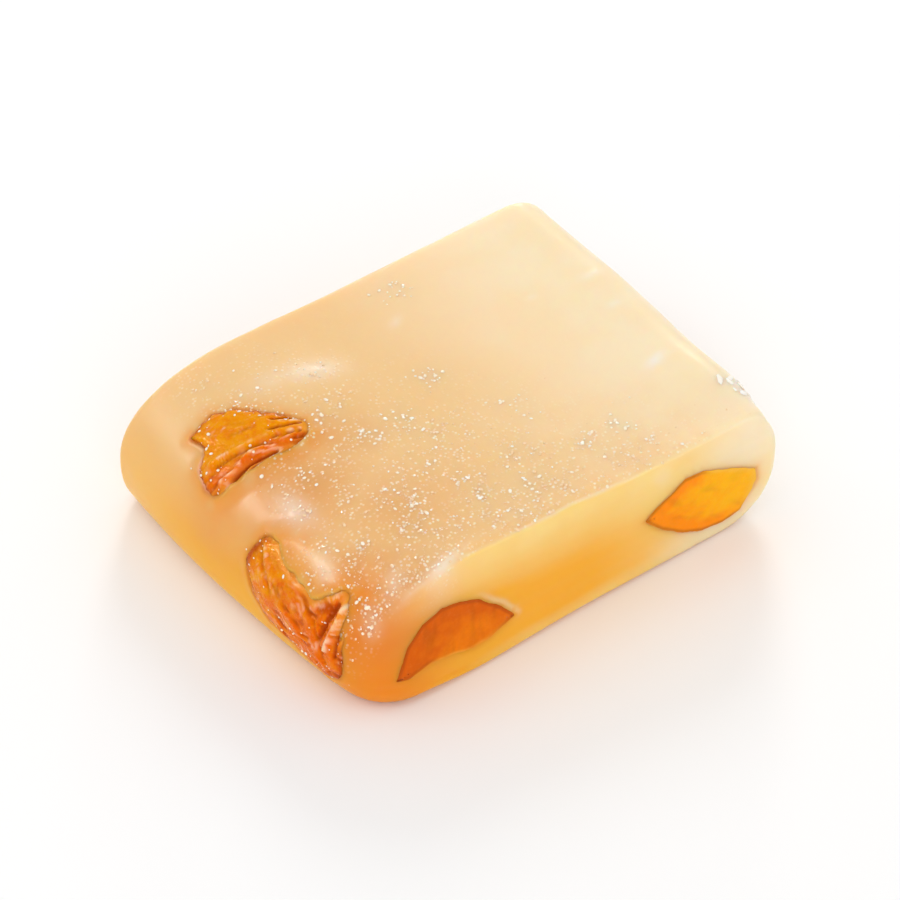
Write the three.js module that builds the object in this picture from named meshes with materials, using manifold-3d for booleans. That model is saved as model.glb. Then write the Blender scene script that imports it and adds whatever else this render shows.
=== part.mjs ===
// A fruit jelly sweet: one piece knife-cut from a hand-rolled bar, with candied fruit set in it.
// Millimetres, +Z up. The origin is below the middle of the sweet, on the plane that it rests on.
// +X runs across the bar, along its two cut faces; +Y runs along the bar, away from the front cut.
import * as THREE from "three";
import { mergeVertices } from "three/addons/utils/BufferGeometryUtils.js";
import Module from "manifold-3d";

const wasm = await Module();
wasm.setup();

// Driving sizes of the jelly.
const WIDTH = 36.2; // across the bar
const LENGTH = 27.9; // from the front cut to the back cut
const HEIGHT = 10.5;
const SQUARENESS = 2.25; // power of the superellipse that rounds the rolled sides
const half = { x: WIDTH / 2, y: LENGTH / 2 };

// The two rolled sides: the height of the bulge, and how far the rounding reaches in above and below it.
const LEFT_SIDE = { bulgeHeight: 4.4, topReach: 9.6, underReach: 2.2 };
const RIGHT_SIDE = { bulgeHeight: 5.0, topReach: 3.2, underReach: 4.6 };

// Radius where a cut meets the rolled skin, and the softer corner at the left of the front cut.
const CUT_EDGE = 0.8;
const SOFT_CORNER = 3.2;

// How far the hand-made piece is from a true block.
const TOP_SAG = 0.15; // the top dips this much towards its corners
const BELLY = { left: 1.15, right: 0.1, middle: 1.5 }; // the rolled sides stand out most at y = middle
const SIDE_WAVE = 0.12; // slow waves in the rolled sides
const FRONT_LEAN = { left: 0.12, right: -0.06 }; // slopes by which the front cut leans in towards the top
const BACK_LEAN = 0.03;
const TAPER = -0.02; // the piece widens towards the back by this slope

// Swellings of the top: centre, radius and height.
const SWELLINGS = [
  { x: -8.4, y: 6.6, radius: 3.4, lift: 0.45 },
  { x: -13.4, y: -6.6, radius: 4.2, lift: 0.6 },
  { x: 15.5, y: -9.5, radius: 4.0, lift: 0.7 },
  { x: 3.0, y: 1.0, radius: 9.0, lift: 0.15 },
];

// Grid of the jelly's surface, in cells along X, Y and Z.
const JELLY_CELLS = [34, 22, 10];

// The candied fruit. Each lump has a frame of its own, at a point of the surface: azimuth and elevation, in
// degrees, say where its outer face looks, and its outline is drawn rightwards and upwards as seen from there.
// The face stands out by rise and the lump goes in by depth. bend is the curvature of the skin it follows.
// A lump with sliced set was cut flush, together with the jelly, by the knife or by the bed it lay on.
const FRONT = { at: [0, -half.y, 0], azimuth: -90, elevation: 0, sliced: true };
const BACK = { at: [0, half.y, 0], azimuth: 90, elevation: 0, sliced: true };
const UNDER = { at: [0, 0, 0], azimuth: -90, elevation: -90, sliced: true };
const AMBER = { color: 0xd9801f, roughness: 0.28, metalness: 0 };
const ORANGE = { color: 0xe07a18, roughness: 0.28, metalness: 0 };
const GOLD = { color: 0xf0a51e, roughness: 0.28, metalness: 0 };
const FRUIT = [
  {
    name: "fruit_top_chunk",
    finish: AMBER,
    frame: { at: [-14.6, 4.35, 9.72], azimuth: -178, elevation: 68 },
    outline: [
      [-3.8, -1.9], [-2.2, -1.7], [-1.4, -3.1], [0.0, -3.8], [1.5, -3.6], [2.1, -2.6],
      [2.4, 1.5], [2.8, 3.0], [2.3, 4.2], [1.1, 4.4], [-1.3, 3.0], [-3.2, 1.7], [-4.1, 0.2],
    ],
    rise: 0.5,
    depth: 2.4,
    bend: [0.01, 0.08],
    seed: 7,
  },
  {
    name: "fruit_side_curl",
    finish: AMBER,
    frame: { at: [-17.9, -7.8, 6.9], azimuth: -169, elevation: 26 },
    outline: [
      [-6.2, -0.2], [-5.6, 1.8], [-3.2, 3.1], [0.8, 3.2], [3.0, 2.0], [3.7, -0.6],
      [4.1, -2.8], [3.8, -4.3], [2.2, -4.9], [-0.3, -4.2], [-3.6, -3.6], [-5.2, -2.3],
    ],
    rise: 0.55,
    depth: 2.2,
    bend: [0.05, 0.15],
    seed: 4,
  },
  {
    name: "fruit_right_chunk",
    finish: AMBER,
    frame: { at: [18.1, 4.6, 5.4], azimuth: 0, elevation: 4 },
    outline: [[-3.3, -0.6], [-1.9, -2.1], [0.8, -2.3], [3.1, -1.2], [3.4, 0.5], [1.6, 2.2], [-1.4, 1.9]],
    rise: 0.4,
    depth: 1.8,
    bend: [0.01, 0.14],
    seed: 12,
  },
  {
    name: "fruit_front_diamond",
    finish: GOLD,
    frame: FRONT,
    outline: [
      [5.7, 5.4], [7.3, 3.7], [9.3, 2.2], [11.0, 1.4], [13.0, 1.1], [14.6, 1.4], [15.3, 2.6],
      [15.9, 3.7], [15.7, 5.0], [13.3, 6.4], [10.8, 7.5], [9.2, 7.6], [7.4, 6.5],
    ],
    rise: 1.5,
    depth: 4.2,
    seed: 3,
  },
  {
    name: "fruit_front_fin",
    finish: ORANGE,
    frame: FRONT,
    outline: [
      [-15.5, 2.6], [-14.5, 2.4], [-12.6, 2.8], [-10.8, 2.6], [-8.9, 2.1], [-7.4, 2.3], [-5.2, 3.1],
      [-6.3, 4.5], [-8.2, 6.2], [-9.8, 6.8], [-11.3, 7.0], [-13.0, 6.4], [-14.4, 5.1],
    ],
    rise: 1.5,
    depth: 1.7,
    seed: 5,
  },
  {
    name: "fruit_back_slab",
    finish: AMBER,
    frame: BACK,
    outline: [[-6.8, 5.2], [-5.6, 2.9], [-1.4, 1.7], [2.2, 2.6], [2.6, 5.0], [-0.4, 6.9], [-4.4, 7.4]],
    rise: 1.5,
    depth: 3.6,
    seed: 8,
  },
  {
    name: "fruit_back_sliver",
    finish: GOLD,
    frame: BACK,
    outline: [[8.0, 6.4], [9.0, 4.3], [11.6, 3.1], [13.9, 3.0], [13.2, 5.2], [10.4, 7.2]],
    rise: 1.5,
    depth: 2.6,
    seed: 9,
  },
  {
    name: "fruit_under_flake",
    finish: AMBER,
    frame: UNDER,
    outline: [[-3.2, 3.6], [-1.2, 1.8], [2.4, 2.2], [4.2, 4.3], [2.6, 6.5], [-1.0, 6.9], [-3.0, 5.4]],
    rise: 1.5,
    depth: 2.0,
    seed: 10,
  },
];
const FIT_GAP = 0.3; // between a lump and its pocket
const CRUMPLE = 0.3; // depth of the folds in a lump's outer face
const LUMP_CELLS = [24, 8]; // round a lump, and from its outer face to its innermost point

const JELLY_FINISH = { color: 0xf6d59c, roughness: 0.35, metalness: 0 };

const { clamp, degToRad, lerp, smoothstep } = THREE.MathUtils;

// The bar's cross-section: maps a point on the rim of the unit square to the section, in X and Z.
function sectionPoint(u, v) {
  const side = u < 0 ? LEFT_SIDE : RIGHT_SIDE;
  const bulge = lerp(LEFT_SIDE.bulgeHeight, RIGHT_SIDE.bulgeHeight, smoothstep(u, -0.75, 0.75));
  const reachX = v > 0 ? side.topReach : side.underReach;
  const reachZ = v > 0 ? HEIGHT - bulge : bulge;
  const cornerX = half.x - reachX;
  const acrossX = (Math.abs(u) * half.x - cornerX) / reachX;
  const acrossZ = Math.abs(v);
  if (acrossX <= 0) return { x: u * half.x, z: bulge + v * reachZ };
  const square = Math.max(acrossX, acrossZ);
  const round = Math.pow(acrossX ** SQUARENESS + acrossZ ** SQUARENESS, 1 / SQUARENESS);
  const pull = square / round;
  return {
    x: Math.sign(u) * (cornerX + acrossX * pull * reachX),
    z: bulge + Math.sign(v) * acrossZ * pull * reachZ,
  };
}

// Rounds the edge between a cut and the skin: inward is the depth below the skin, along the depth behind the cut.
function roundCutEdge(inward, along, radius) {
  if (inward >= radius || along >= radius) return { inward, along };
  const a = radius - inward;
  const b = radius - along;
  const pull = Math.max(a, b) / Math.hypot(a, b);
  return { inward: radius - a * pull, along: radius - b * pull };
}

// Moves a point of the surface of a cube from -1 to 1 to the surface of the even, unworked block.
function blockPoint(u, v, w) {
  const square = Math.max(Math.abs(u), Math.abs(w));
  const core = { x: 0, z: HEIGHT / 2 };
  if (square === 0) return new THREE.Vector3(core.x, Math.sign(v) * half.y, core.z);
  const skin = sectionPoint(u / square, w / square);
  const reach = Math.hypot(skin.x - core.x, skin.z - core.z);
  const soft = v < 0 ? 1 - smoothstep(u / square, -1, -0.45) : 0;
  const radius = lerp(CUT_EDGE, SOFT_CORNER, soft);
  const edge = roundCutEdge((1 - square) * reach, (1 - Math.abs(v)) * half.y, radius);
  const share = 1 - edge.inward / reach;
  return new THREE.Vector3(
    core.x + (skin.x - core.x) * share,
    Math.sign(v) * (half.y - edge.along),
    core.z + (skin.z - core.z) * share,
  );
}

// The unevenness of hand work. The underside stays flat.
function workByHand(point) {
  const above = smoothstep(point.z / HEIGHT, 0.02, 0.45);
  const top = smoothstep(point.z / HEIGHT, 0.45, 1);
  const acrossX = point.x / half.x;
  const acrossY = point.y / half.y;
  let lift = -TOP_SAG * 0.5 * (acrossX ** 2 + acrossY ** 2);
  for (const swelling of SWELLINGS) {
    const distance = Math.hypot(point.x - swelling.x, point.y - swelling.y) / swelling.radius;
    lift += swelling.lift * Math.exp(-(distance ** 2));
  }
  const outward = Math.sign(point.x) * smoothstep(Math.abs(acrossX), 0.4, 1);
  const fromMiddle = (point.y - BELLY.middle) / (half.y + BELLY.middle);
  const belly = (point.x < 0 ? BELLY.left : BELLY.right) * (1 - fromMiddle ** 2);
  const wave = SIDE_WAVE * Math.sin(point.y * 0.3 + Math.sign(point.x)) * above;
  const frontLean = lerp(FRONT_LEAN.left, FRONT_LEAN.right, smoothstep(acrossX, -1, 1));
  const lean = point.y < 0 ? frontLean : -BACK_LEAN;
  point.set(
    (point.x + outward * (belly + wave)) * (1 - TAPER * acrossY),
    point.y + lean * (point.z - HEIGHT / 2) * Math.abs(acrossY),
    point.z + lift * top,
  );
}

// Moves every vertex of a geometry and returns it.
function moveVertices(geometry, move) {
  const position = geometry.getAttribute("position");
  const point = new THREE.Vector3();
  for (let i = 0; i < position.count; i += 1) {
    point.fromBufferAttribute(position, i);
    move(point, i);
    position.setXYZ(i, point.x, point.y, point.z);
  }
  return geometry;
}

// The same surface with its shared vertices merged.
function merged(geometry) {
  geometry.deleteAttribute("normal");
  geometry.deleteAttribute("uv");
  return mergeVertices(geometry, 1e-4);
}

function blockGeometry() {
  // The sine packs the grid's lines towards the edges, where the surface turns.
  const packed = (t) => Math.sin((clamp(t, -1, 1) * Math.PI) / 2);
  return moveVertices(merged(new THREE.BoxGeometry(2, 2, 2, ...JELLY_CELLS)), (point) => {
    point.copy(blockPoint(packed(point.x), packed(point.y), packed(point.z)));
    workByHand(point);
  });
}

// The middle of an outline.
function outlineMiddle(outline) {
  const sum = outline.reduce(([a, b], [x, y]) => [a + x, b + y], [0, 0]);
  return sum.map((value) => value / outline.length);
}

// How far an outline lies from its middle in a direction.
function outlineReach(outline, [middleX, middleY], direction) {
  const dx = Math.cos(direction);
  const dy = Math.sin(direction);
  let reach = 0;
  outline.forEach(([x, y], i) => {
    const [nextX, nextY] = outline[(i + 1) % outline.length];
    const edgeX = nextX - x;
    const edgeY = nextY - y;
    const cross = dx * edgeY - dy * edgeX;
    const distance = ((x - middleX) * edgeY - (y - middleY) * edgeX) / cross;
    const along = ((x - middleX) * dy - (y - middleY) * dx) / cross;
    if (distance > 0 && along >= 0 && along <= 1) reach = Math.max(reach, distance);
  });
  return reach;
}

// Folds in dried fruit: ridges in three directions that depend on the seed, from 0 to 1.
function folds(x, y, seed) {
  let sum = 0;
  for (let i = 0; i < 3; i += 1) {
    const direction = seed * 1.7 + i * 1.1;
    const across = x * Math.cos(direction) + y * Math.sin(direction);
    sum += Math.abs(Math.sin(across * (0.7 + 0.25 * i) + seed * (i + 1)));
  }
  return sum / 3;
}

// A lump of candied fruit. grow pushes its surface outwards, for the pocket it sits in.
function lumpGeometry({ outline, rise, depth, bend = [0, 0], seed, frame }, grow = 0) {
  const middle = outlineMiddle(outline);
  const lump = merged(new THREE.SphereGeometry(1, ...LUMP_CELLS).rotateX(Math.PI / 2));
  moveVertices(lump, (point) => {
    const reach = outlineReach(outline, middle, Math.atan2(point.y, point.x));
    const plan = Math.hypot(point.x, point.y);
    const spread = plan > 0 ? (reach * Math.pow(plan, 0.7)) / plan : 0;
    const x = point.x * spread + middle[0];
    const y = point.y * spread + middle[1];
    const fold = point.z > 0 && !frame.sliced ? CRUMPLE * (folds(x, y, seed) - 0.6) * point.z : 0;
    const skin = -0.5 * (bend[0] * x ** 2 + bend[1] * y ** 2);
    point.set(x, y, skin + point.z * (point.z > 0 ? rise : depth) + fold);
  });
  lump.computeVertexNormals();
  const normals = lump.getAttribute("normal");
  moveVertices(lump, (point, i) => {
    point.addScaledVector(new THREE.Vector3().fromBufferAttribute(normals, i), grow);
  });
  lump.deleteAttribute("normal");
  return lump.applyMatrix4(frameMatrix(frame));
}

function frameMatrix({ at, azimuth, elevation }) {
  const turn = degToRad(azimuth);
  const tip = degToRad(elevation);
  const out = new THREE.Vector3(Math.cos(tip) * Math.cos(turn), Math.cos(tip) * Math.sin(turn), Math.sin(tip));
  const right = new THREE.Vector3(-Math.sin(turn), Math.cos(turn), 0);
  return new THREE.Matrix4().makeBasis(right, out.clone().cross(right), out).setPosition(...at);
}

function solidOf(geometry) {
  const vertProperties = new Float32Array(geometry.getAttribute("position").array);
  return new wasm.Manifold(new wasm.Mesh({ numProp: 3, vertProperties, triVerts: geometry.index.array }));
}

function geometryOf(solid) {
  const mesh = solid.getMesh();
  const geometry = new THREE.BufferGeometry();
  geometry.setAttribute("position", new THREE.BufferAttribute(mesh.vertProperties, 3));
  geometry.setIndex(new THREE.BufferAttribute(mesh.triVerts, 1));
  return geometry;
}

const block = solidOf(blockGeometry());
let jelly = block;
const pieces = FRUIT.map((piece) => {
  const lump = solidOf(lumpGeometry(piece));
  jelly = jelly.subtract(solidOf(lumpGeometry(piece, FIT_GAP)));
  return { name: piece.name, finish: piece.finish, solid: piece.frame.sliced ? lump.intersect(block) : lump };
});
pieces.push({ name: "jelly", finish: JELLY_FINISH, solid: jelly });

// Puts the middle of the whole sweet over the origin.
const { min, max } = wasm.Manifold.compose(pieces.map(({ solid }) => solid)).boundingBox();
const sweet = new THREE.Group();
for (const { name, finish, solid } of pieces) {
  const centred = solid.translate([-(min[0] + max[0]) / 2, -(min[1] + max[1]) / 2, 0]);
  const mesh = new THREE.Mesh(geometryOf(centred), new THREE.MeshStandardMaterial(finish));
  mesh.name = name;
  sweet.add(mesh);
}

export default sweet;
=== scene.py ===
"""The look of one fruit jelly sweet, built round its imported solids. Metres, +Z up."""

import math
import random

import bmesh
import bpy
import numpy as np
from mathutils import Matrix, Vector, noise
from mathutils.bvhtree import BVHTree


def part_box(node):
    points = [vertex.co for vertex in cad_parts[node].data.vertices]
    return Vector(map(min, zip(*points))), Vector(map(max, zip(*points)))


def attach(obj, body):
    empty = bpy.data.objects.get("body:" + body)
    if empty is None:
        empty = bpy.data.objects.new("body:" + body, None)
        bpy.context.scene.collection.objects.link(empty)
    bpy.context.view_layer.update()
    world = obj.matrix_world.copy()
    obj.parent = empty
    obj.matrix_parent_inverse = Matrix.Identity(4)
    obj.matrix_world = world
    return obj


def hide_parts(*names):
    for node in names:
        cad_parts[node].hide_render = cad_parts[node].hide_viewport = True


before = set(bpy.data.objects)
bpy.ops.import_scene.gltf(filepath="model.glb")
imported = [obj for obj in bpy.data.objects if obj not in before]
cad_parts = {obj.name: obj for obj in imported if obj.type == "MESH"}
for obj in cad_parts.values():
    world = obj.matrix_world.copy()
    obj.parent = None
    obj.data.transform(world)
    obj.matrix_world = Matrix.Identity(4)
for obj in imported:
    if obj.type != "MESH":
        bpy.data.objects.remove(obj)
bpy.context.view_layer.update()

MM = 0.001  # the shapes below are worked out in millimetres

# The block of jelly, as its solid has it.
WIDTH, LENGTH, HEIGHT = 36.2, 27.9, 10.5
HALF_X, HALF_Y = WIDTH / 2, LENGTH / 2
SQUARENESS = 2.25  # power of the superellipse that rounds the rolled sides
LEFT_SIDE = {"bulge": 4.4, "top": 9.6, "under": 2.2}  # height of the bulge, reach of the rounding
RIGHT_SIDE = {"bulge": 5.0, "top": 3.2, "under": 4.6}
CUT_EDGE, SOFT_CORNER = 0.8, 3.2  # radius where a cut meets the skin, and at the left of the front cut
TOP_SAG = 0.15  # the top dips this much towards its corners
BELLY_LEFT, BELLY_RIGHT, BELLY_MIDDLE = 1.15, 0.1, 1.5  # the sides stand out most at y = BELLY_MIDDLE
SIDE_WAVE = 0.12
FRONT_LEAN_LEFT, FRONT_LEAN_RIGHT, BACK_LEAN = 0.12, -0.06, 0.03
TAPER = -0.02
# Swellings of the top: middle, radius and height.
SWELLINGS = [(-8.4, 6.6, 3.4, 0.45), (-13.4, -6.6, 4.2, 0.6), (15.5, -9.5, 4.0, 0.7), (3.0, 1.0, 9.0, 0.15)]
JELLY_CELLS = (190, 146, 58)

# The candied fruit. Each lump has:
#   frame      where it sits, and the azimuth and elevation, in degrees, that its outer face looks along
#   outline    its outline as seen from there
#   rise       how far its outer face crowns above the skin, or 0 where the knife cut it flush
#   depth      how deep it goes into the jelly
#   bare       where the jelly's skin has closed over part of it, the stretch that still lies open
#   ridges     its folds: height, half width and line
#   sheen      painted highlights in pale streaks along the folds: half width and line
#   grain      the way its fibres run, in degrees
#   redder     the way it deepens in colour: degrees, from, to
#   soft_side  the side, in degrees, where its edge blurs into the jelly
#   dark_edge  how wide its dark edge is, as a share of the way to its middle, on crumpled lumps
#   seed       picks its own noise
#   finish     its material
#   slot       the material slot of its solid
FRONT, BACK, UNDER = ((0, -HALF_Y, 0), -90, 0), ((0, HALF_Y, 0), 90, 0), ((0, 0, 0), -90, -90)
FRUIT = {
    "fruit_top_chunk": {
        "frame": ((-14.6, 4.35, 9.72), -178, 68),
        "rise": 0.5, "depth": 2.0, "seed": 7, "soft_side": 0,
        "finish": "crumpled_amber", "slot": "amber_fruit",
        "grain": 74, "redder": (-16, 0.1, 1.5), "dark_edge": 0.08,
        "outline": [(-3.8, -1.9), (-2.2, -1.7), (-1.4, -3.1), (0.0, -3.8), (1.5, -3.6), (2.1, -2.6),
                    (2.4, 1.5), (2.8, 3.0), (2.3, 4.2), (1.1, 4.4), (-1.3, 3.0), (-3.2, 1.7), (-4.1, 0.2)],
        "bare": [(-6.0, -3.0), (-2.0, -5.5), (0.4, -5.0), (1.2, -3.4), (1.7, -1.5), (1.9, 0.6), (2.4, 2.3),
                 (2.4, 3.4), (1.7, 4.1), (0.0, 6.0), (-4.0, 4.0), (-6.0, 1.0)],
        "ridges": [
            (0.16, 0.22, [(-0.7, -2.4), (-0.2, -0.9), (0.4, 1.0)]),
            (-0.15, 0.15, [(-0.2, -2.2), (0.2, -0.8), (0.8, 1.0), (1.7, 1.9)]),
            (0.24, 0.24, [(0.9, -2.8), (1.2, -1.8), (0.9, 0.1), (1.6, 1.5), (1.8, 2.6)]),
            (-0.22, 0.15, [(1.6, -2.6), (1.5, -0.6), (2.0, 1.4)]),
            (-0.08, 0.5, [(-2.2, 0.6), (-1.6, 1.2)]),
            (-0.20, 0.10, [(0.2, 2.2), (1.1, 4.1)]),
            (-0.18, 0.09, [(-0.5, 2.8), (0.6, 4.2)]),
            (-0.18, 0.09, [(1.0, 2.0), (1.7, 3.7)]),
            (-0.18, 0.12, [(1.7, 2.4), (2.2, 3.6)]),
        ],
        "sheen": [
            (0.13, [(0.9, -2.8), (1.2, -1.8), (0.9, 0.1), (1.6, 1.5)]),
            (0.08, [(1.9, -1.4), (2.0, 0.4)]),
            (0.10, [(-0.7, -2.2), (-0.3, -0.8), (0.2, 0.6)]),
            (0.06, [(-1.9, -0.9), (-2.3, 0.3)]),
            (0.06, [(0.1, 3.2), (0.9, 4.1)]),
            (0.06, [(0.8, 2.4), (1.5, 3.8)]),
            (0.06, [(1.4, 2.1), (2.0, 3.4)]),
        ],
    },
    "fruit_side_curl": {
        "frame": ((-17.9, -7.8, 6.9), -169, 26),
        "rise": 0.45, "depth": 2.0, "seed": 4, "soft_side": 60,
        "finish": "crumpled_amber", "slot": "amber_fruit",
        "grain": -20, "redder": (-34, -6.5, 3.0), "dark_edge": 0.11,
        "outline": [(-6.2, -0.2), (-5.6, 1.8), (-3.2, 3.1), (0.8, 3.2), (3.0, 2.0), (3.7, -0.6),
                    (4.1, -2.8), (3.8, -4.3), (2.2, -4.9), (-0.3, -4.2), (-3.6, -3.6), (-5.2, -2.3)],
        "bare": [(-7.5, 2.4), (-4.1, 1.9), (-3.1, 1.1), (-2.2, 0.8), (-0.6, 0.65), (0.5, 0.3), (1.3, 0.5),
                 (2.0, 1.3), (2.6, 1.9), (3.4, 2.6), (5.0, 2.0), (6.0, -6.0), (-3.0, -6.0), (-8.0, -2.0)],
        "ridges": [
            (0.30, 0.24, [(3.2, 1.6), (3.1, -0.4), (2.7, -2.3)]),
            (-0.26, 0.2, [(2.6, 1.0), (2.3, -0.4), (2.0, -1.8)]),
            (-0.2, 0.16, [(3.6, 0.8), (3.4, -2.6)]),
            (-0.12, 0.16, [(-5.3, 1.3), (-4.5, 0.3), (-3.9, -0.2), (-3.2, -1.2)]),
            (0.10, 0.2, [(-4.9, 1.5), (-4.3, 0.7), (-3.6, 0.1)]),
            (-0.14, 0.10, [(1.2, -0.8), (2.2, -2.6), (2.8, -4.2)]),
            (-0.12, 0.09, [(0.2, -1.4), (1.4, -3.2), (1.8, -4.4)]),
            (-0.16, 0.5, [(1.5, 0.2), (2.1, 0.5)]),
            (0.12, 0.3, [(-2.0, -1.6), (0.2, -2.6), (2.4, -3.8)]),
        ],
        "sheen": [
            (0.15, [(3.2, 1.6), (3.1, -0.4), (2.7, -2.3)]),
            (0.08, [(-4.9, 1.5), (-4.3, 0.7), (-3.6, 0.1)]),
            (0.07, [(-5.2, 0.7), (-4.5, -0.5)]),
        ],
    },
    "fruit_right_chunk": {
        "frame": ((18.1, 4.6, 5.4), 0, 4),
        "rise": 0.4, "depth": 1.6, "seed": 12, "soft_side": 60,
        "finish": "crumpled_amber", "slot": "amber_fruit",
        "grain": 15, "redder": (200, -1.0, 3.0), "dark_edge": 0.045,
        "outline": [(-3.3, -0.6), (-1.9, -2.1), (0.8, -2.3), (3.1, -1.2), (3.4, 0.5), (1.6, 2.2),
                    (-1.4, 1.9)],
        "bare": [(-5.0, -1.0), (-2.0, -4.0), (2.0, -4.0), (5.0, -1.0), (5.0, 1.0), (2.4, 1.2), (0.4, 0.9),
                 (-2.6, 2.0)],
        "ridges": [
            (0.2, 0.25, [(-2.4, -0.6), (0.0, -0.2), (2.4, -0.5)]),
            (-0.2, 0.18, [(-1.8, -1.2), (0.6, -0.9), (2.2, -1.1)]),
        ],
    },
    "fruit_front_diamond": {
        "frame": FRONT,
        "rise": 0.0, "depth": 3.8, "seed": 3, "soft_side": 30,
        "finish": "sliced_gold", "slot": "gold_fruit",
        "grain": -30, "redder": (200, -14.5, -7.0),
        "outline": [(5.7, 5.4), (7.3, 3.7), (9.3, 2.2), (11.0, 1.4), (13.0, 1.1), (14.6, 1.4), (15.3, 2.6),
                    (15.9, 3.7), (15.7, 5.0), (13.3, 6.4), (10.8, 7.5), (9.2, 7.6), (7.4, 6.5)],
    },
    "fruit_front_fin": {
        "frame": FRONT,
        "rise": 0.0, "depth": 1.5, "seed": 5, "soft_side": 275,
        "finish": "sliced_orange", "slot": "amber_fruit",
        "grain": 86, "redder": (110, 5.0, 10.5),
        "outline": [(-15.5, 2.6), (-14.5, 2.4), (-12.6, 2.8), (-10.8, 2.6), (-8.9, 2.1), (-7.4, 2.3),
                    (-5.2, 3.1), (-6.3, 4.5), (-8.2, 6.2), (-9.8, 6.8), (-11.3, 7.0), (-13.0, 6.4),
                    (-14.4, 5.1)],
    },
    "fruit_back_slab": {
        "frame": BACK,
        "rise": 0.0, "depth": 3.3, "seed": 8, "soft_side": 90,
        "finish": "sliced_amber", "slot": "amber_fruit",
        "grain": 10, "redder": (0, -3.0, 3.0),
        "outline": [(-6.8, 5.2), (-5.6, 2.9), (-1.4, 1.7), (2.2, 2.6), (2.6, 5.0), (-0.4, 6.9), (-4.4, 7.4)],
    },
    "fruit_back_sliver": {
        "frame": BACK,
        "rise": 0.0, "depth": 2.3, "seed": 9, "soft_side": 90,
        "finish": "sliced_gold", "slot": "gold_fruit",
        "grain": 20, "redder": (200, -14.0, -7.0),
        "outline": [(8.0, 6.4), (9.0, 4.3), (11.6, 3.1), (13.9, 3.0), (13.2, 5.2), (10.4, 7.2)],
    },
    "fruit_under_flake": {
        "frame": UNDER,
        "rise": 0.0, "depth": 1.8, "seed": 10, "soft_side": 0,
        "finish": "sliced_amber", "slot": "amber_fruit",
        "grain": 0, "redder": (45, 0.0, 6.0),
        "outline": [(-3.2, 3.6), (-1.2, 1.8), (2.4, 2.2), (4.2, 4.3), (2.6, 6.5), (-1.0, 6.9), (-3.0, 5.4)],
    },
}
LUMP_DETAIL = 6  # subdivisions of the ball that a lump is shaped from

# Where the jelly's looks change. A tint grows along each axis named here, from the first place to the second.
FROSTED_CORNER = {"x": (-13.5, -16.5), "y": (-9.0, -12.5), "z": (2.5, 5.0)}
# Painted shade at the front left, where less light reaches: the deeper colour, glow and dark line of the
# corner, and the deeper colour by the fin.
SHADED_CORNER = {"z": (8.0, 1.5), "x": (-8.0, -15.0), "y": (-2.0, -10.0)}
DEEP_BY_FIN = {"x": (-3.0, -10.0), "z": (8.0, 4.5), "y": (-10.0, -13.0)}
SHADED_CORNER_GLOW = {"z": (9.5, 1.0), "x": (-11.0, -16.0), "y": (-8.0, -12.5)}
SHADED_CORNER_RIM = {"x": (-8.0, -16.0), "y": (-8.5, -12.5), "z": (10.0, 5.5)}
PALE_END = {"x": (9.0, 17.0), "z": (5.0, 8.5), "y": (-8.0, -13.0)}
# A painted highlight along the top edge of the front cut.
PALE_CUT_EDGE = {"z": (7.5, 9.5), "x": (9.0, 3.0)}
# Painted light low on the right of the front cut, where the floor shades it.
PALE_CUT_FOOT = {"x": (5.0, 12.0), "z": (4.0, 1.5)}
# The front cut takes the skin's colours at its right end, most high up; low down this is painted light
# against the floor's shade.
CUT_BLEND = {"x": (7.0, 15.0), "z": (1.0, 6.5)}
WORN_CORNER, WORN_RADIUS = (17.6, -13.2, 9.4), 1.7  # the worn corner of the top, at the front right

# A lump marks the skin this far round its middle, and this far from the plane of its face.
MARK_REACH, MARK_DEPTH = 11.0, 3.2
LIES_OPEN = -9.0  # how far under the skin a lump is taken to lie where nothing covers it

# Pale spots of painted highlight in the skin of the top, each raised a little and, at the left, frosted:
# middle, half length, half width, turn in degrees, and strength.
PALE_SPOTS = [
    (12.9, -5.9, 0.9, 0.5, 20, 0.9), (14.9, 4.0, 0.9, 0.4, 0, 0.5), (14.4, 0.6, 0.5, 0.3, 0, 0.45),
    (10.1, 4.5, 0.5, 0.3, 0, 0.25), (0.9, 8.1, 0.7, 0.4, 30, 0.3), (-7.0, 7.1, 2.2, 1.0, -20, 0.5),
    (-9.6, 8.0, 1.6, 1.1, -20, 0.25), (-15.2, -2.5, 0.9, 1.9, 0, 0.55), (-13.9, -12.0, 1.0, 0.7, 40, 0.3),
    (-16.2, -12.6, 0.9, 0.7, 60, 0.25), (-10.7, -13.1, 1.4, 0.4, 5, 0.75), (16.2, -11.1, 1.4, 0.8, 20, 0.6),
]

# Where the skin is thin over fruit and warmer in colour: middle, radius and strength.
WARM_PATCHES = [(-14.2, -1.6, 8.6, 4.6, 1.0), (-15.0, -11.8, 6.5, 4.6, 1.0), (-10.0, -7.0, 10.0, 4.2, 0.55),
                (-18.0, 2.0, 6.0, 4.0, 0.7), (-9.4, 0.6, 10.3, 3.0, 0.5)]

# Painted highlights in the skin by two lumps, in the lump's own plane: a tilted oval on the skin that has
# closed over the curl, and a thin pale band above the fin's right end.
CURL_GLINT = {"middle": (0.7, 2.2), "tilt": (0.88, 0.4), "squash": 2.4, "radius": 1.6, "strength": 0.4}
FIN_HIGHLIGHT = {"a": (-9.0, -7.0), "b": (2.6, 3.6), "outside": 0.25, "width": 0.2, "strength": 0.3}

# Clusters of droplets on the top, and how wide each is.
DROPLET_CLUSTERS = [(3.4, 10.6), (1.8, 10.8), (-0.7, 2.3), (2.2, -3.2), (-4.7, -7.2), (-9.4, -9.2),
                    (4.4, -9.2), (6.8, -9.3), (-7.0, -0.3), (-4.4, -0.5), (-13.2, -0.6), (-9.5, 3.4),
                    (-1.5, -10.5)]
CLUSTER_RADIUS = 0.8

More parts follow.
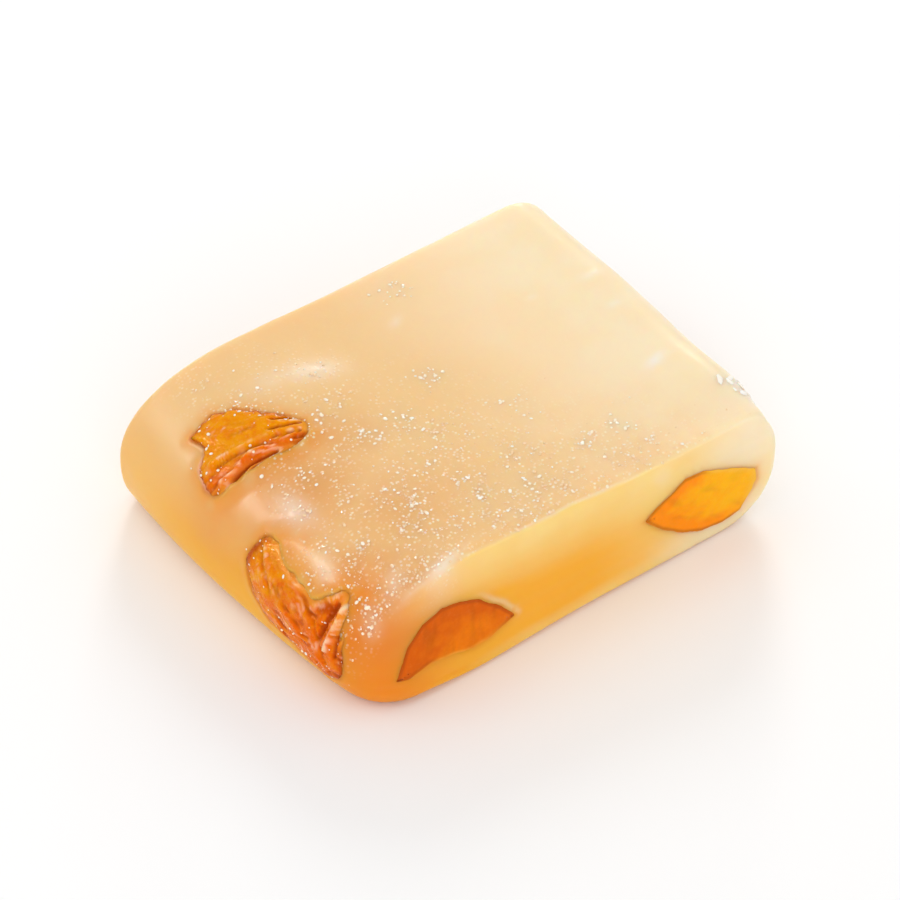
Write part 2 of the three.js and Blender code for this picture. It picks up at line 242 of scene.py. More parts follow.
# Loose chips of sugar near the right end of the front edge.
PALE_FLAKES = [(14.9, -10.5), (15.5, -11.0), (15.9, -10.5), (16.2, -11.3), (16.6, -10.9), (16.9, -11.5),
               (17.2, -11.0), (16.5, -11.9), (17.0, -12.2), (15.3, -11.7), (16.8, -10.4), (17.3, -11.7),
               (15.8, -12.1)]


def ramp(value, low, high):
    """0 at low, 1 at high, with smooth ends. low may be the larger."""
    t = np.clip((value - low) / (high - low), 0.0, 1.0)
    return t * t * (3.0 - 2.0 * t)


def hump(distance, width):
    """1 where the distance is 0, falling off to each side over the width."""
    return np.exp(-((distance / width) ** 2))


def section(u, v):
    """The bar's cross-section, in X and Z, for points on the rim of the unit square."""
    left = u < 0
    bulge = LEFT_SIDE["bulge"] + (RIGHT_SIDE["bulge"] - LEFT_SIDE["bulge"]) * ramp(u, -0.75, 0.75)
    above = v > 0
    reach_x = np.where(above, np.where(left, LEFT_SIDE["top"], RIGHT_SIDE["top"]),
                       np.where(left, LEFT_SIDE["under"], RIGHT_SIDE["under"]))
    reach_z = np.where(above, HEIGHT - bulge, bulge)
    corner = HALF_X - reach_x
    across_x = np.maximum((np.abs(u) * HALF_X - corner) / reach_x, 0.0)
    across_z = np.abs(v)
    square = np.maximum(across_x, across_z)
    pull = square / np.maximum((across_x ** SQUARENESS + across_z ** SQUARENESS) ** (1 / SQUARENESS), 1e-9)
    flat = across_x <= 0
    x = np.where(flat, u * HALF_X, np.sign(u) * (corner + across_x * pull * reach_x))
    z = np.where(flat, bulge + v * reach_z, bulge + np.sign(v) * across_z * pull * reach_z)
    return x, z


def block_points(cube):
    """Moves points of the surface of a cube from -1 to 1 to the even block."""
    u, v, w = cube.T
    square = np.maximum(np.maximum(np.abs(u), np.abs(w)), 1e-9)
    skin_x, skin_z = section(u / square, w / square)
    core = HEIGHT / 2
    reach = np.hypot(skin_x, skin_z - core)
    soft = np.where(v < 0, 1.0 - ramp(u / square, -1.0, -0.45), 0.0)
    radius = CUT_EDGE + (SOFT_CORNER - CUT_EDGE) * soft
    inward, along = (1.0 - square) * reach, (1.0 - np.abs(v)) * HALF_Y
    a, b = radius - inward, radius - along
    pull = np.maximum(a, b) / np.maximum(np.hypot(a, b), 1e-9)
    edge = (a > 0) & (b > 0)
    inward, along = np.where(edge, radius - a * pull, inward), np.where(edge, radius - b * pull, along)
    share = 1.0 - inward / reach
    return np.column_stack([skin_x * share, np.sign(v) * (HALF_Y - along), core + (skin_z - core) * share])


def work_by_hand(p):
    """The unevenness of hand work. The underside stays flat."""
    x, y, z = p.T
    above, top = ramp(z / HEIGHT, 0.02, 0.45), ramp(z / HEIGHT, 0.45, 1.0)
    across_x, across_y = x / HALF_X, y / HALF_Y
    lift = -TOP_SAG * 0.5 * (across_x ** 2 + across_y ** 2)
    for cx, cy, radius, height in SWELLINGS:
        lift = lift + height * hump(np.hypot(x - cx, y - cy), radius)
    outward = np.sign(x) * ramp(np.abs(across_x), 0.4, 1.0)
    from_middle = (y - BELLY_MIDDLE) / (HALF_Y + BELLY_MIDDLE)
    belly = np.where(x < 0, BELLY_LEFT, BELLY_RIGHT) * (1.0 - from_middle ** 2)
    wave = SIDE_WAVE * np.sin(y * 0.3 + np.sign(x)) * above
    front = FRONT_LEAN_LEFT + (FRONT_LEAN_RIGHT - FRONT_LEAN_LEFT) * ramp(across_x, -1.0, 1.0)
    lean = np.where(y < 0, front, -BACK_LEAN)
    return np.column_stack([
        (x + outward * (belly + wave)) * (1.0 - TAPER * across_y),
        y + lean * (z - HEIGHT / 2) * np.abs(across_y),
        z + lift * top,
    ])


# ---------------------------------------------------------------- mesh helpers

def read_points(mesh, field="co"):
    """One row for each vertex: its place, or its normal."""
    values = np.empty(len(mesh.vertices) * 3)
    mesh.vertices.foreach_get(field, values)
    return values.reshape(-1, 3)


def write_points(mesh, points):
    mesh.vertices.foreach_set("co", np.asarray(points).ravel())
    mesh.update()


def to_mesh(bm, name):
    mesh = bpy.data.meshes.new(name)
    bmesh.ops.recalc_face_normals(bm, faces=bm.faces)
    bm.to_mesh(mesh)
    bm.free()
    mesh.shade_smooth()
    return mesh


def add_piece(name, mesh, material, replaces=()):
    piece = bpy.data.objects.new(name, mesh)
    bpy.context.scene.collection.objects.link(piece)
    mesh.materials.append(material)
    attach(piece, "root")
    if replaces:
        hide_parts(*replaces)
    return piece


def set_attribute(mesh, name, values):
    layer = mesh.attributes.new(name, "FLOAT", "POINT")
    layer.data.foreach_set("value", np.asarray(values, np.float32))


def lumpiness(points, scale, seed=0.0):
    """Noise from -1 to 1 with features about scale millimetres across."""
    shift = Vector((seed * 3.1, seed * 7.7, seed * 1.3))
    return np.array([noise.noise(Vector(p) / scale + shift) for p in points])


def flat_noise(a, b, scale, seed):
    """The same noise in a lump's own plane."""
    return lumpiness(np.column_stack([a, b, 0 * a]), scale, seed)


def clipped(value):
    return np.clip(value, 0.0, 1.0)


def turned(a, b, degrees):
    """How far points lie along a way in the plane, and across it."""
    turn = math.radians(degrees)
    return a * math.cos(turn) + b * math.sin(turn), b * math.cos(turn) - a * math.sin(turn)


def line_distance(line, a, b):
    """Distance of points to a line of several points."""
    best = np.full(len(a), 1e9)
    for (x0, y0), (x1, y1) in zip(line, line[1:]):
        ex, ey = x1 - x0, y1 - y0
        t = np.clip(((a - x0) * ex + (b - y0) * ey) / (ex * ex + ey * ey), 0.0, 1.0)
        best = np.minimum(best, np.hypot(a - x0 - t * ex, b - y0 - t * ey))
    return best


def outline_distance(outline, a, b):
    """Distance of points to a closed outline, negative inside it."""
    closed = outline + outline[:1]
    inside = np.zeros(len(a), bool)
    for (x0, y0), (x1, y1) in zip(closed, closed[1:]):
        crosses = (y0 > b) != (y1 > b)
        inside ^= crosses & (a < x0 + (b - y0) * (x1 - x0) / ((y1 - y0) or 1e-9))
    distance = line_distance(closed, a, b)
    return np.where(inside, -distance, distance)


def lump_axes(placed):
    """A lump's own frame: its point, and the ways right, up and out of its face."""
    at, azimuth, elevation = placed
    turn, tip = math.radians(azimuth), math.radians(elevation)
    out = np.array([math.cos(tip) * math.cos(turn), math.cos(tip) * math.sin(turn), math.sin(tip)])
    right = np.array([-math.sin(turn), math.cos(turn), 0.0])
    return np.array(at, float), right, np.cross(out, right), out


# ---------------------------------------------------------------- the jelly

def cube_grid(cells):
    """A cube from -1 to 1 with its edges along X, Y and Z cut into so many cells."""
    bm = bmesh.new()
    bmesh.ops.create_cube(bm, size=2)
    for axis, count in enumerate(cells):
        along = [e for e in bm.edges if abs(e.verts[0].co[axis] - e.verts[1].co[axis]) > 1e-6]
        bmesh.ops.subdivide_edges(bm, edges=along, cuts=count - 1, use_grid_fill=True)
    return bm


jelly_mesh = to_mesh(cube_grid(JELLY_CELLS), "jelly_skin")
cube = read_points(jelly_mesh)
base = work_by_hand(block_points(cube))
write_points(jelly_mesh, base)
base_normals = read_points(jelly_mesh, "normal")


def middle_shift():
    """The solids stand with the middle of the whole sweet over the origin, so the looks move there too."""
    low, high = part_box("jelly")
    shift = [(low[i] + high[i]) / 2 / MM - (base[:, i].min() + base[:, i].max()) / 2 for i in (0, 1)]
    return np.array(shift + [0.0])


to_middle = middle_shift()
skin_tree = BVHTree.FromPolygons([Vector(p) for p in base], [tuple(f.vertices) for f in jelly_mesh.polygons])


def skin_height(placed, a, b):
    """How far the jelly's surface stands out, along the lump's own axis, under each point of its face."""
    at, right, up, out = lump_axes(placed)
    lifted = 6.0
    heights = []
    for x, y in zip(a, b):
        above = at + right * x + up * y + out * lifted
        hit = skin_tree.ray_cast(Vector(above), Vector(-out))[0]
        if hit is None:
            hit = skin_tree.find_nearest(Vector(above - out * (lifted + 1.0)))[0]
        heights.append((np.array(hit) - at) @ out)
    return np.array(heights)


def covered_by(lump, a, b):
    """How far, in millimetres, a lump's face lies under the jelly's skin. Below 0 it lies open."""
    if "bare" not in lump:
        return np.full(len(a), LIES_OPEN)
    return outline_distance(lump["bare"], a, b) + 0.25 * flat_noise(a, b, 0.9, 21)


def sharp_side(lump, a, b):
    """1 where a lump's edge is sharp, 0 round its soft side, for points seen from its middle."""
    return ramp(np.cos(np.arctan2(b, a) - math.radians(lump["soft_side"])), 0.75, 0.1)


def wash(strength, spans):
    """A tint that grows along each axis, from the first place given to the second."""
    for axis, (start, full) in spans.items():
        strength = strength * ramp(base[:, "xyz".index(axis)], start, full)
    return strength


def away_from(place):
    """Distance of each point of the skin from a place."""
    return np.sqrt(sum((base[:, i] - place[i]) ** 2 for i in range(3)))


def cut_share():
    """1 on the two knife cuts and 0 on the rolled skin. The cuts' right ends blur into it."""
    facing = np.abs(base_normals[:, 1]) * (np.abs(cube[:, 1]) > 0.8)
    blur = ramp(base[:, 0], 0.0, 9.0)
    return ramp(facing - 0.22 * blur + 0.10 * lumpiness(base, 2.0, 9), 0.62, 0.93 - 0.12 * blur)


def frost_share(cut):
    """Sugar frosting: on what looks up, thickest at the front left and along the front edge."""
    x, y, _ = base.T
    upward = ramp(base_normals[:, 2], 0.15, 0.75)
    frost = upward * (0.04 + 0.9 * ramp(x + 0.9 * y, 6.0, -11.0))
    frost = frost + 0.45 * hump(y + 12.2, 2.2) * upward * ramp(x, 13.0, 7.0)
    frost = frost * np.maximum(ramp(x, -17.0, -12.5), ramp(y, -3.0, -8.0))
    frost = frost + wash(0.6, FROSTED_CORNER)
    frost = frost * (0.75 + 0.9 * lumpiness(base, 2.4, 5) + 0.5 * lumpiness(base, 1.0, 25))
    return clipped(frost * (1.0 - cut))


def painted_shade_share():
    """Painted shade: deeper orange low down, towards the left and towards the front, away from the light,
    less so right at the foot, and more at the front left corner and by the fin.
    """
    z = base[:, 2]
    deep = ramp(z + 0.6 * lumpiness(base, 5.0, 6), 9.8, 3.8) * (1.0 - 0.5 * ramp(z, 2.0, 0.8))
    deep = wash(1.15 * deep, {"x": (16.0, -3.0)}) * (0.55 + wash(0.45, {"y": (15.0, -4.0)}))
    deep = clipped(deep + wash(0.8, SHADED_CORNER))
    return clipped(deep + wash(0.3, DEEP_BY_FIN))


def peach_share():
    """Warm patches where fruit lies close under the skin."""
    peach = np.zeros(len(base))
    uneven = 0.7 * lumpiness(base, 2.5, 14)
    for *place, radius, strength in WARM_PATCHES:
        peach = np.maximum(peach, strength * hump(away_from(place) + uneven, radius))
    return wash(peach, {"z": (1.5, 6.0)})


def skin_relief(cut, frost, corner):
    """Slow swells and fine grain on the skin, the knife's drag on the cuts, and the worn corner."""
    relief = 0.05 * lumpiness(base, 6.0, 1) + (0.012 + 0.03 * frost) * lumpiness(base, 1.6, 2)
    grainy = 0.02 * lumpiness(base, 0.34, 3) * (0.3 + frost)
    drag = 0.012 * np.sin(base[:, 2] * 5.0 + 1.5 * lumpiness(base, 6.0, 8)) * cut
    return relief * (1.0 - 0.7 * cut) + grainy * (1.0 - cut) + drag - 0.5 * corner


def pale_spot(cx, cy, length, width, turn, strength):
    """An oval pale spot of painted highlight in the skin of the top."""
    along, across = turned(base[:, 0] - cx, base[:, 1] - cy, turn)
    return wash(strength * hump(np.hypot(along / length, across / width), 1.0), {"z": (5.5, 7.5)})


def press_in(name, lump, marks):
    """Adds what a lump does to the skin round it: the dent, the dark line, a painted glow of the fruit
    through the jelly and a painted pale glint.
    """
    at, right, up, out = lump_axes(lump["frame"])
    offset = base - at
    a, b, c = offset @ right, offset @ up, offset @ out
    middle = np.mean(lump["outline"], axis=0)
    in_reach = (np.abs(c) < MARK_DEPTH) & (np.hypot(a - middle[0], b - middle[1]) < MARK_REACH)
    near = (base_normals @ out > 0.15) & in_reach
    a, b = a[near], b[near]
    wobble = (0.12 if lump["rise"] else 0.05) * lumpiness(base[near], 0.9, lump["seed"])
    d = outline_distance(lump["outline"], a, b) + wobble
    outside = np.maximum(d, 0.0)
    sharp = sharp_side(lump, a - middle[0], b - middle[1])
    covered = covered_by(lump, a, b)
    if lump["rise"]:
        # Where the lump lies open the skin dips under it, and where it is covered the skin swells over it.
        bare = ramp(covered, 0.25, -0.25)
        over = 0.95 * lump["rise"] * ramp(d, 1.1, -0.8)
        dent = (-0.75 * ramp(d, -0.3, -0.7) + 0.12 * hump(d - 0.15, 0.45)) * bare + over * (1.0 - bare)
        edge = 0.8 * hump(d, 0.14) * bare * sharp
        # Painted glow of the fruit through the jelly, round it and over its covered part.
        glow = hump(outside, 2.0 - 1.2 * sharp) * np.exp(-np.maximum(covered, 0.0) / 1.7)
        glow = glow * (1.0 - 0.3 * sharp * (d > 0)) * ramp(lumpiness(base[near], 1.1, 51), -1.1, 0.1)
    else:
        # The cut dips under the sliced face and stands in a faint lip round it.
        dent = -0.4 * ramp(d, -0.35, -0.65) + 0.02 * hump(d - 0.2, 0.25)
        edge = 0.5 * hump(d + 0.28, 0.22) * sharp
        # Painted glow of the fruit through the jelly round the cut face.
        glow = np.exp(-outside / 0.32) * (0.8 - 0.25 * sharp)
    marks["pressed"][near] += dent
    marks["rim"][near] = np.maximum(marks["rim"][near], edge)
    marks["halo"][near] = np.maximum(marks["halo"][near], glow)
    # Painted highlights: an oval over the curl and a thin pale band above the fin's right end.
    if name == "fruit_side_curl":
        glint = curl_glint(a, b) * ramp(covered, 0.6, 1.5)
        marks["pale"][near] = np.maximum(marks["pale"][near], glint)
    if name == "fruit_front_fin":
        glint = FIN_HIGHLIGHT["strength"] * hump(d - FIN_HIGHLIGHT["outside"], FIN_HIGHLIGHT["width"])
        glint = glint * ramp(a, *FIN_HIGHLIGHT["a"]) * ramp(b, *FIN_HIGHLIGHT["b"])
        marks["pale"][near] = np.maximum(marks["pale"][near], glint)


def curl_glint(a, b):
    """The tilted oval of painted highlight over the curl."""
    (a0, b0), (ahead, aside) = CURL_GLINT["middle"], CURL_GLINT["tilt"]
    along = (a - a0) * ahead - (b - b0) * aside
    across = CURL_GLINT["squash"] * ((a - a0) * aside + (b - b0) * ahead)
    return CURL_GLINT["strength"] * hump(np.hypot(along, across), CURL_GLINT["radius"])


def dress_jelly():
    """Shapes the skin and the cuts finely, and keeps what the material needs to know at each point."""
    z = base[:, 2]
    cut = cut_share()
    frost = frost_share(cut)
    corner = hump(away_from(WORN_CORNER), WORN_RADIUS)
    relief = skin_relief(cut, frost, corner)
    # Painted highlight on the worn corner, and the right end of the front cut paler.
    pale = np.maximum(wash(0.5 * corner, {"z": (8.0, 9.0)}), wash(0.3, PALE_END))
    spot_relief = 0.10 + 0.10 * lumpiness(base, 0.7, 61)
    for place in PALE_SPOTS:
        spot = pale_spot(*place)
        pale = np.maximum(pale, spot)
        frost = clipped(frost + wash(1.2 * spot, {"x": (2.0, -4.0)}))
        relief = relief + spot_relief * spot
    # Painted highlight along the edge where the front cut meets the skin.
    pale = np.maximum(pale, wash(0.35 * 4.0 * cut * (1.0 - cut), PALE_CUT_EDGE))

    marks = {key: np.zeros(len(base)) for key in ("pressed", "rim", "halo")} | {"pale": pale}
    for name, lump in FRUIT.items():
        press_in(name, lump, marks)
    pressed, halo = marks["pressed"], marks["halo"]
    moved = base + base_normals * (relief * ramp(z, 0.02, 0.5) + pressed)[:, None]
    moved[:, 2] = np.maximum(moved[:, 2], 0.0)
    write_points(jelly_mesh, (moved + to_middle) * MM)

    bare_skin = (1.0 - cut) * (pressed > -0.15)
    by_fruit = bare_skin * halo * (z > 0.4)
    # Painted glow along the foot, over the floor's contact shade, and at the shaded front left corner.
    halo = np.maximum(np.maximum(halo, 0.6 * hump(z, 0.4)), wash(0.75, SHADED_CORNER_GLOW))
    values = {
        # The cut's colours give way to the skin's at its right end, most high up; low down this is painted
        # light against the floor's shade.
        "cut": cut * (1.0 - wash(0.75, CUT_BLEND)),
        "frost": frost,
        "deep": painted_shade_share(),
        # Painted shade: the skin darker towards the left, away from the light.
        "shaded_left": ramp(base[:, 0] + 1.5 * lumpiness(base, 7.0, 12), 15.0, -6.0),
        "halo": clipped(halo),
        "peach": clipped(peach_share()),
        # The dark line by the fruit, and painted shade at the front left corner.
        "rim": clipped(np.maximum(marks["rim"], wash(0.55, SHADED_CORNER_RIM))),
        # Painted highlights, and painted light low on the right of the front cut, where the floor shades it.
        "pale": clipped(np.maximum(marks["pale"], wash(0.45 * cut, PALE_CUT_FOOT))),
    }
    for key, value in values.items():
        set_attribute(jelly_mesh, key, value)
    return bare_skin * frost, by_fruit


frosted, by_fruit = dress_jelly()  # how much sugar each point of the skin holds, and how near to fruit it is


# ---------------------------------------------------------------- the fruit

def outline_reach(outline, direction):
    """How far the outline lies from its middle in each direction."""
    middle = np.mean(outline, axis=0)
    dx, dy = np.cos(direction), np.sin(direction)
    reach = np.zeros(len(direction))
    for (x0, y0), (x1, y1) in zip(outline, outline[1:] + outline[:1]):
        ex, ey = x1 - x0, y1 - y0
        cross = dx * ey - dy * ex
        cross = np.where(np.abs(cross) < 1e-9, 1e-9, cross)
        distance = ((x0 - middle[0]) * ey - (y0 - middle[1]) * ex) / cross
        along = ((x0 - middle[0]) * dy - (y0 - middle[1]) * dx) / cross
        reach = np.where((distance > 0) & (along >= 0) & (along <= 1), np.maximum(reach, distance), reach)
    return middle, reach


def fibres(a, b, degrees, seed):
    """Fibres and small folds that run one way: from about -1 in a crease to 1 on a ridge."""
    along, across = turned(a, b, degrees)
    across = across + 0.25 * flat_noise(a, b, 1.7, seed + 5)
    coarse = flat_noise(along / 3.0, across, 0.75, seed)
    fine = flat_noise(along / 4.0, across, 0.3, seed + 2)
    return 1.0 - 2.6 * np.abs(coarse) + 0.5 * fine


def crinkles(a, b, degrees, seed):
    """Fine crinkles that run one way: from about -1 in a fold to 1 between folds."""
    along, across = turned(a, b, degrees)
    across = across + 0.2 * flat_noise(a, b, 1.0, seed + 8)
    return 1.0 - 3.2 * np.abs(flat_noise(along / 3.2, across, 0.42, seed + 9))


def spread_ball(ball, lump):
    """Spreads a ball's points over a lump's ragged outline. plan is 0 at its middle and 1 at its edge."""
    x, y, z = ball.T
    plan = np.hypot(x, y)
    middle, reach = outline_reach(lump["outline"], np.arctan2(y, x))
    spread = reach * plan ** np.where(z > 0, 0.7, 0.3) / np.maximum(plan, 1e-6)
    a, b = x * spread + middle[0], y * spread + middle[1]
    ragged = flat_noise(a, b, 0.8, lump["seed"]) + 0.6 * flat_noise(a, b, 0.35, 17)
    ragged = (0.2 if lump["rise"] else 0.09) * ragged * plan
    return a + ragged * x, b + ragged * y, plan


def sheen_streaks(lump, a, b):
    """Painted highlights in pale streaks along a lump's folds, broken here and there."""
    sheen = np.zeros(len(a))
    if "sheen" in lump:
        broken = ramp(flat_noise(a, b, 0.45, 41), -0.25, 0.25)
        wander = 0.12 * flat_noise(a, b, 0.6, 42)
        for width, line in lump["sheen"]:
            sheen = np.maximum(sheen, hump(line_distance(line, a, b) + wander, width) * broken)
    return sheen


def make_lump(name, lump):
    """One lump, crumpled and crowned above the skin or sliced flush, with what its material needs to know."""
    bm = bmesh.new()
    bmesh.ops.create_icosphere(bm, subdivisions=LUMP_DETAIL, radius=1.0)
    mesh = to_mesh(bm, name)
    ball = read_points(mesh)
    a, b, plan = spread_ball(ball, lump)
    outer, shown = ball[:, 2] > 0, np.maximum(ball[:, 2], 0.0)
    strand = fibres(a, b, lump["grain"], lump["seed"])
    folded = np.zeros(len(a))
    for high, width, line in lump.get("ridges", ()):
        folded += high * hump(line_distance(line, a, b), width)
    turn, start, stop = lump["redder"]
    redder = ramp(turned(a, b, turn)[0] + 0.5 * flat_noise(a, b, 1.5, 31), start, stop)
    covered = covered_by(lump, a, b)
    sharp = sharp_side(lump, ball[:, 0], ball[:, 1])
    veil = np.maximum(ramp(covered, -0.6, 0.15), (1.0 - sharp) * ramp(plan, 0.7, 0.98))
    sheen = sheen_streaks(lump, a, b)
    if lump["rise"]:
        # Crinkles and painted sheen are livelier where the flesh is redder. Under the skin the face is
        # smooth.
        fine = crinkles(a, b, lump["grain"] + 8, lump["seed"])
        lively = 0.3 + 0.7 * redder
        strand = 0.7 * strand + 0.85 * fine * lively
        patchy = ramp(flat_noise(a, b, 1.1, 47), 0.0, 0.35)
        sheen = np.maximum(sheen, 0.6 * ramp(fine, 0.6, 0.95) * patchy * lively)
        bare = ramp(covered, 0.3, -0.3)
        relief = (1.3 * folded + (0.025 + 0.075 * redder) * strand) * ramp(shown, 0.0, 0.45)
        height = lump["rise"] * shown ** 0.6 * (1.0 - 0.25 * redder) + relief * bare - 0.1 * (1.0 - bare)
        # Painted shade: dark creases, and the flesh lighter on the crinkles' ridges and darker in their
        # folds.
        crease = ramp(strand, 0.35, -0.6) * (0.12 + 0.7 * redder)
        rim = hump(1.0 - plan, lump["dark_edge"]) * (0.95 + 0.9 * flat_noise(a, b, 0.6, 44))
        shade = 0.5 + 0.4 * strand
    else:
        # The face is flat. The one in the underside is set back a little, clear of what the sweet lies on.
        brink = outline_distance(lump["outline"], a, b)
        flush = -0.02 if lump["frame"] == UNDER else 0.03
        height = flush + 0.004 * strand * ramp(shown, 0.0, 0.4) - 0.15 * ramp(plan, 0.95, 1.0)
        crease = 0.02 * ramp(strand, 0.2, -0.8)
        rim = hump(brink + 0.2, 0.14)
        shade = 0.5 + 0.11 * (strand - 1.0)
        redder = redder + 0.6 * sharp * ramp(brink, -1.6, -0.5)
    # Painted shade in the hollows between the folds.
    crease = clipped(crease + ramp(folded, -0.04, -0.2))

    c = skin_height(lump["frame"], a, b) + np.where(outer, height, -lump["depth"] * np.abs(ball[:, 2]) ** 0.6)
    at, right, up, out = lump_axes(lump["frame"])
    points = at + a[:, None] * right + b[:, None] * up + c[:, None] * out
    points[:, 2] = np.maximum(points[:, 2], 0.0)
    write_points(mesh, (points + to_middle) * MM)
    values = {
        "crease": np.where(outer, crease, 0.0),
        "redder": clipped(redder),
        "strand": np.where(outer, clipped(shade), 0.5),
        "rim": clipped(rim * sharp * (1.0 - veil)),
        "veil": clipped(veil + 0.25 * lumpiness(points, 0.7, 19) * ramp(veil, 0.0, 0.4)),
        "sheen": np.where(outer, sheen, 0.0),
    }
    for key, value in values.items():
        set_attribute(mesh, key, value)
    return mesh


# ---------------------------------------------------------------- materials

# Colours of the jelly, from the palest skin to the lines by the fruit.
SKIN_LIGHT, SKIN_CLOUD = (0.98, 0.775, 0.525), (0.97, 0.75, 0.48)
# Painted shade: the darker skin colour and the deep colours of skin and cut.
SKIN_SHADED, SKIN_DEEP = (0.87, 0.575, 0.275), (0.89, 0.42, 0.02)
CUT_LIGHT, CUT_CLOUD, CUT_DEEP = (1.0, 0.68, 0.26), (0.99, 0.64, 0.22), (0.94, 0.43, 0.035)
UNDER_FROST, OVER_FRUIT = (0.90, 0.60, 0.295), (0.77, 0.335, 0.095)
# Painted glow of the fruit through the jelly, and the dark line by the fruit.
FRUIT_GLOW, FRUIT_LINE = (0.90, 0.30, 0.015), (0.70, 0.15, 0.004)
# Frosting white, and the pale of painted highlights and painted light on the skin.
FROST_WHITE, GLINT_PALE = (1.0, 0.89, 0.72), (0.97, 0.84, 0.72)
# Syrup frost on the fruit, and the pale of painted sheen along its folds.
SYRUP_FROST, SHEEN_PALE = (0.98, 0.66, 0.26), (1.0, 0.72, 0.52)

# Colours of the fruit: light and deep flesh, the dark of creases and rim, which in the creases is painted
# shade, and flesh seen through a veil of jelly.
AMBER = ((0.86, 0.33, 0.001), (0.80, 0.16, 0.001), (0.48, 0.055, 0.001), (0.88, 0.35, 0.04))
ORANGE = ((0.86, 0.205, 0.001), (0.69, 0.115, 0.001), (0.48, 0.07, 0.002), (0.92, 0.34, 0.03))
GOLD = ((1.0, 0.46, 0.001), (1.0, 0.27, 0.001), (0.55, 0.15, 0.003), (1.0, 0.50, 0.05))


def new_group(name, inputs, outputs):
    tree = bpy.data.node_groups.new(name, "ShaderNodeTree")
    for label, kind, value in inputs:
        socket = tree.interface.new_socket(label, in_out="INPUT", socket_type=kind)
        if value is not None:
            socket.default_value = value
    for label, kind in outputs:
        tree.interface.new_socket(label, in_out="OUTPUT", socket_type=kind)
    return tree, tree.nodes.new("NodeGroupInput"), tree.nodes.new("NodeGroupOutput")


def math_node(tree, operation, a, b=None, clamp=False):
    node = tree.nodes.new("ShaderNodeMath")
    node.operation, node.use_clamp = operation, clamp
    for i, value in enumerate((a, b)):
        if value is None:
            continue
        if isinstance(value, (int, float)):
            node.inputs[i].default_value = value
        else:
            tree.links.new(value, node.inputs[i])
    return node.outputs[0]


def scaled(tree, value, factor):
    return math_node(tree, "MULTIPLY", value, factor)


def mix_colour(tree, factor, a, b):
    """Mixes two colours. The node's input 0 is the factor, 6 and 7 the colours, and output 2 the mix."""
    node = tree.nodes.new("ShaderNodeMix")
    node.data_type = "RGBA"
    for socket, value in zip((node.inputs[0], node.inputs[6], node.inputs[7]), (factor, a, b)):
        if isinstance(value, (int, float)):
            socket.default_value = value
        elif isinstance(value, tuple):
            socket.default_value = (*value, 1.0)
        else:
            tree.links.new(value, socket)
    return node.outputs[2]


def own_coordinates(tree):
    return tree.nodes.new("ShaderNodeTexCoord").outputs["Object"]


def noise_at(tree, scale_mm, detail=2.0, rough=0.5):
    """Noise with features about scale_mm across, on the piece's own coordinates."""
    node = tree.nodes.new("ShaderNodeTexNoise")
    node.inputs["Scale"].default_value = 1.0 / (scale_mm * MM)
    node.inputs["Detail"].default_value = detail
    node.inputs["Roughness"].default_value = rough
    tree.links.new(own_coordinates(tree), node.inputs["Vector"])
    return node.outputs["Fac"]


def remap(tree, value, from_low, from_high, to_low=0.0, to_high=1.0):
    node = tree.nodes.new("ShaderNodeMapRange")
    node.interpolation_type = "SMOOTHSTEP"
    for i, limit in enumerate((from_low, from_high, to_low, to_high), start=1):
        node.inputs[i].default_value = limit
    tree.links.new(value, node.inputs[0])
    return node.outputs[0]


def attribute(tree, name):
    node = tree.nodes.new("ShaderNodeAttribute")
    node.attribute_name = name
    return node.outputs["Fac"]


def tint(tree, colour, name, strength, paint):
    """Lays a paint over the colour, as strongly as the named attribute says."""
    return mix_colour(tree, scaled(tree, attribute(tree, name), strength), colour, paint)


def bump(tree, height, distance_mm, strength):
    node = tree.nodes.new("ShaderNodeBump")
    node.inputs["Distance"].default_value = distance_mm * MM
    node.inputs["Strength"].default_value = strength
    tree.links.new(height, node.inputs["Height"])
    return node.outputs["Normal"]


def new_material(name, **values):
    material = bpy.data.materials.new(name)
    material.use_nodes = True
    tree = material.node_tree
    shader = tree.nodes["Principled BSDF"]
    for key, value in values.items():
        shader.inputs[key.replace("_", " ")].default_value = value
    return material, tree, shader


def frosting_group():
    """Sugar frosting: a speckled mask and a fine height, as strong as Amount says."""
    tree, given, result = new_group("sugar_frosting", [("Amount", "NodeSocketFloat", 0.5)],
                                    [("Mask", "NodeSocketFloat"), ("Height", "NodeSocketFloat")])
    amount = given.outputs["Amount"]
    speck_mm = 0.28
    cells = tree.nodes.new("ShaderNodeTexVoronoi")
    cells.inputs["Scale"].default_value = 1.0 / (speck_mm * MM)
    tree.links.new(own_coordinates(tree), cells.inputs["Vector"])
    kept = remap(tree, cells.outputs["Color"], 0.42, 0.55)
    speckle = math_node(tree, "MULTIPLY", remap(tree, cells.outputs["Distance"], 0.5, 0.15), kept)
    drift = remap(tree, noise_at(tree, 1.4), 0.35, 0.65, 0.3, 1.0)
    mask = math_node(tree, "MULTIPLY", math_node(tree, "MULTIPLY", speckle, drift), amount)
    tree.links.new(mask, result.inputs["Mask"])
    rough = math_node(tree, "ADD", noise_at(tree, 0.6), speckle)
    tree.links.new(math_node(tree, "MULTIPLY", rough, amount), result.inputs["Height"])
    return tree


FROSTING = frosting_group()


def frosting(tree, amount):
    node = tree.nodes.new("ShaderNodeGroup")
    node.node_tree = FROSTING
    tree.links.new(amount, node.inputs["Amount"])
    return node.outputs["Mask"], node.outputs["Height"]


